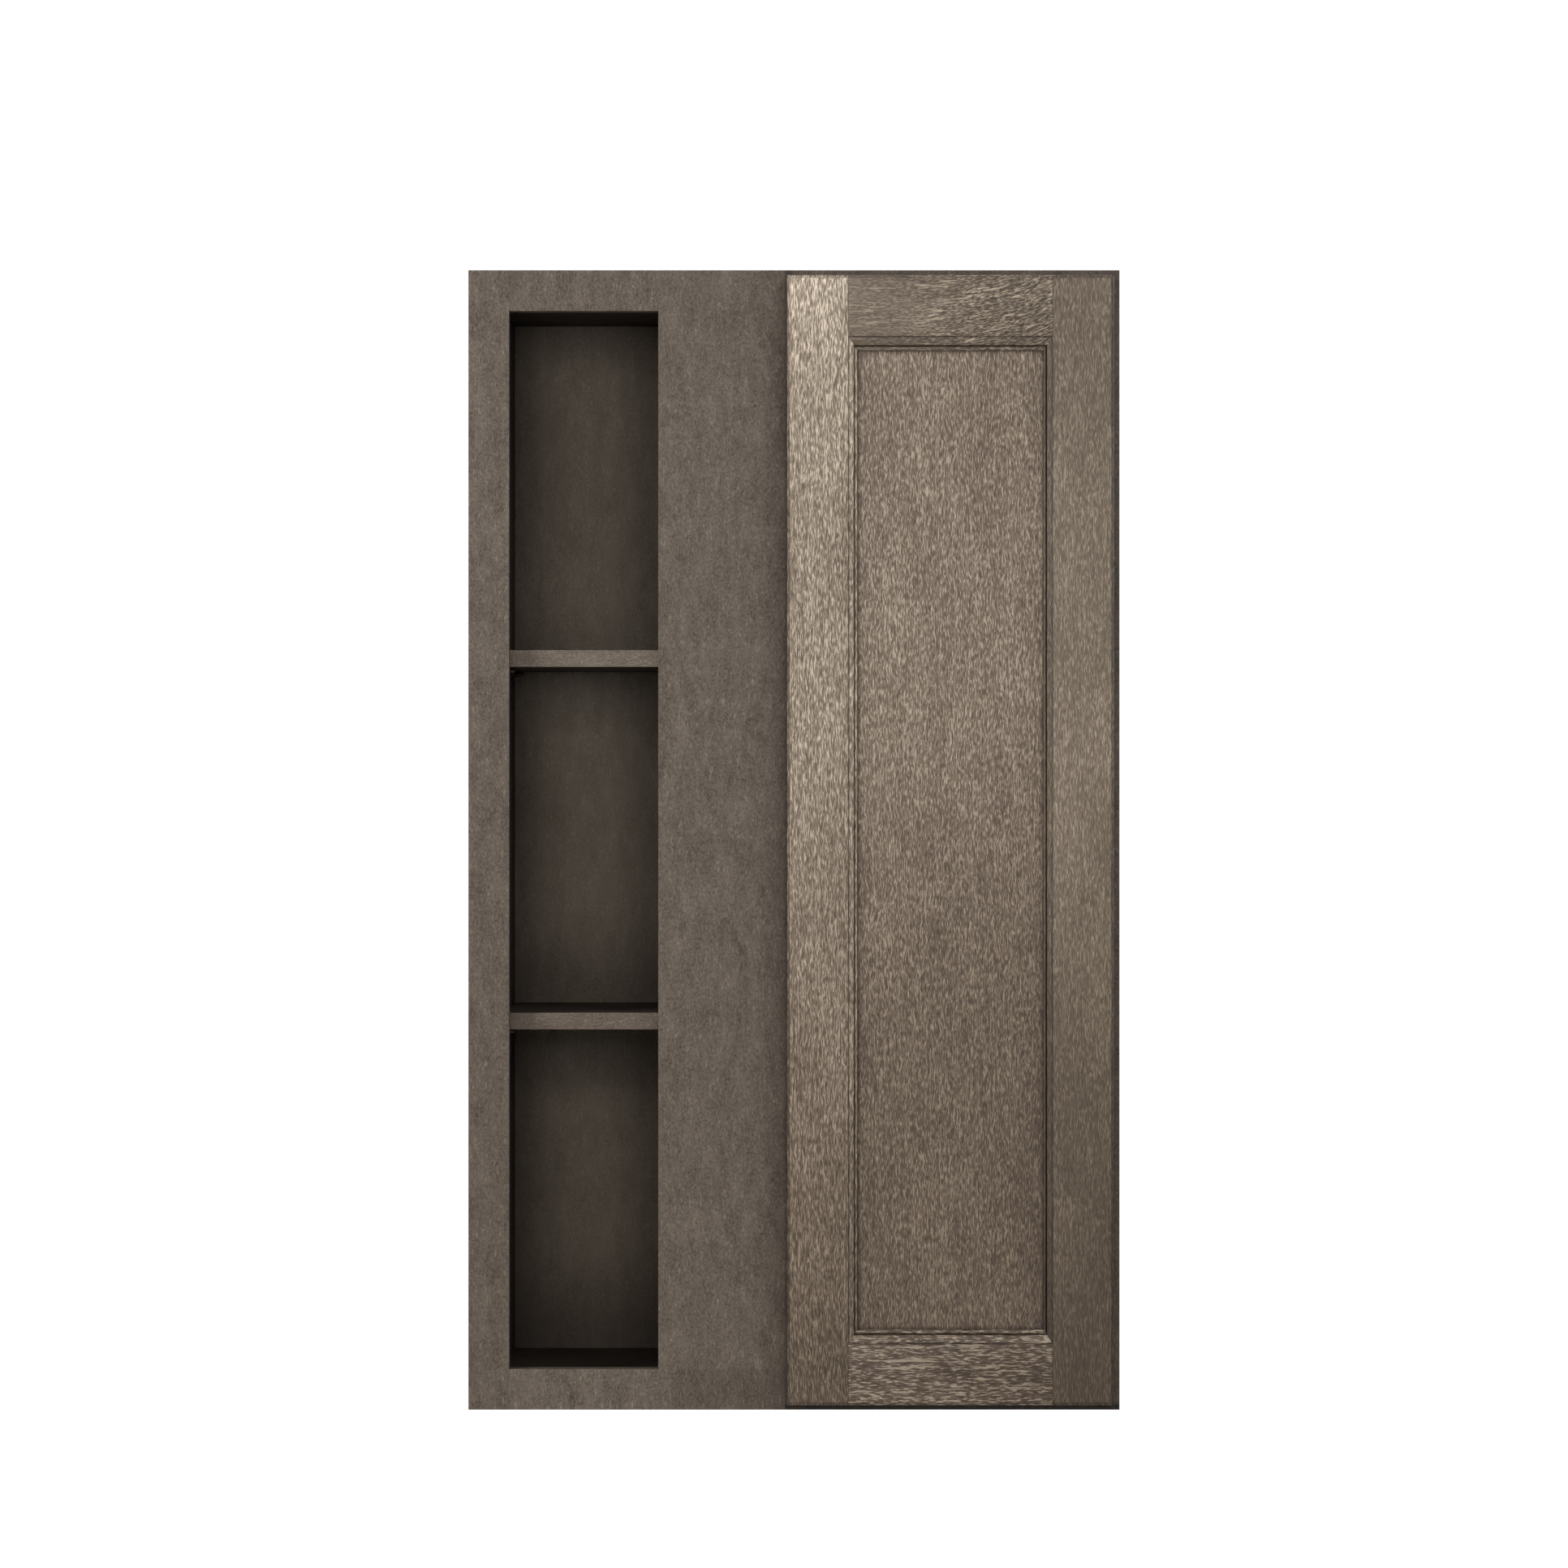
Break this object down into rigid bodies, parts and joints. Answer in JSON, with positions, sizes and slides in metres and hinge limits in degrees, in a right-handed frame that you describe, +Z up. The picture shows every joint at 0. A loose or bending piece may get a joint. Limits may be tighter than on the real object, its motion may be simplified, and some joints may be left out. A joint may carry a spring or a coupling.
{
  "type": "hanging wall cabinet",
  "caption": "Face-framed corner wall cabinet with an open left window bay, a wide blind stile, loose shelves and a hinged recessed-panel door at the right.",
  "frame": {"origin": "bottom centre of the cabinet's bounding box, with the door shut", "axes": "+Z up, -Y out of the front towards the user, +X to the right of someone facing the front"},
  "size_m": [0.6096, 0.3264, 1.0668],
  "materials": {
    "frame_wood": "fine straight grain, grey-brown stain, satin",
    "door_wood": "open flecked grain, grey-brown stain, satin",
    "case_board": "veneered board, grey-brown, matt",
    "back_board": "thin veneered board, grey-brown, matt",
    "shelf_board": "veneered shelf board with an edge strip, matt",
    "plated_steel": "nickel plated",
    "clear_plastic": "translucent"
  },
  "bodies": {
    "cabinet": {"back_panel": "back_board", "bottom_panel": "case_board", "frame_bottom_rail": "frame_wood", "frame_left_stile": "frame_wood", "frame_mid_stile": "frame_wood", "frame_right_stile": "frame_wood", "frame_top_rail": "frame_wood", "hanging_rail_bottom": "case_board", "hanging_rail_top": "case_board", "hinge_bottom_arm": "plated_steel", "hinge_bottom_base": "plated_steel", "hinge_bottom_base_screw_high": "plated_steel", "hinge_bottom_base_screw_low": "plated_steel", "hinge_middle_arm": "plated_steel", "hinge_middle_base": "plated_steel", "hinge_middle_base_screw_high": "plated_steel", "hinge_middle_base_screw_low": "plated_steel", "hinge_top_arm": "plated_steel", "hinge_top_base": "plated_steel", "hinge_top_base_screw_high": "plated_steel", "hinge_top_base_screw_low": "plated_steel", "left_side": "case_board", "right_side": "case_board", "shelf_pin_lower_left_back": "plated_steel", "shelf_pin_lower_left_front": "plated_steel", "shelf_pin_lower_right_back": "plated_steel", "shelf_pin_lower_right_front": "plated_steel", "shelf_pin_upper_left_back": "plated_steel", "shelf_pin_upper_left_front": "plated_steel", "shelf_pin_upper_right_back": "plated_steel", "shelf_pin_upper_right_front": "plated_steel", "top_panel": "case_board"},
    "door": {"bumper_bottom": "clear_plastic", "bumper_top": "clear_plastic", "door_bottom_rail": "door_wood", "door_left_stile": "door_wood", "door_panel": "door_wood", "door_right_stile": "door_wood", "door_top_rail": "door_wood", "hinge_bottom_cup": "plated_steel", "hinge_bottom_cup_screw_high": "plated_steel", "hinge_bottom_cup_screw_low": "plated_steel", "hinge_bottom_pin": "plated_steel", "hinge_middle_cup": "plated_steel", "hinge_middle_cup_screw_high": "plated_steel", "hinge_middle_cup_screw_low": "plated_steel", "hinge_middle_pin": "plated_steel", "hinge_top_cup": "plated_steel", "hinge_top_cup_screw_high": "plated_steel", "hinge_top_cup_screw_low": "plated_steel", "hinge_top_pin": "plated_steel"},
    "lower_shelf": {"shelf_lower": "shelf_board"},
    "upper_shelf": {"shelf_upper": "shelf_board"}
  },
  "joints": [
    {"name": "door_swing", "type": "hinge", "parent": "cabinet", "child": "door", "pos_m": [0.29145, -0.15463, 0.5334], "axis": [0, 0, 1], "range_deg": [0, 105]},
    {"name": "lower_shelf_lift", "type": "slide", "parent": "cabinet", "child": "lower_shelf", "axis": [0, 0, 1], "range_m": [0, 0.064]},
    {"name": "upper_shelf_lift", "type": "slide", "parent": "cabinet", "child": "upper_shelf", "axis": [0, 0, 1], "range_m": [0, 0.064]}
  ]
}
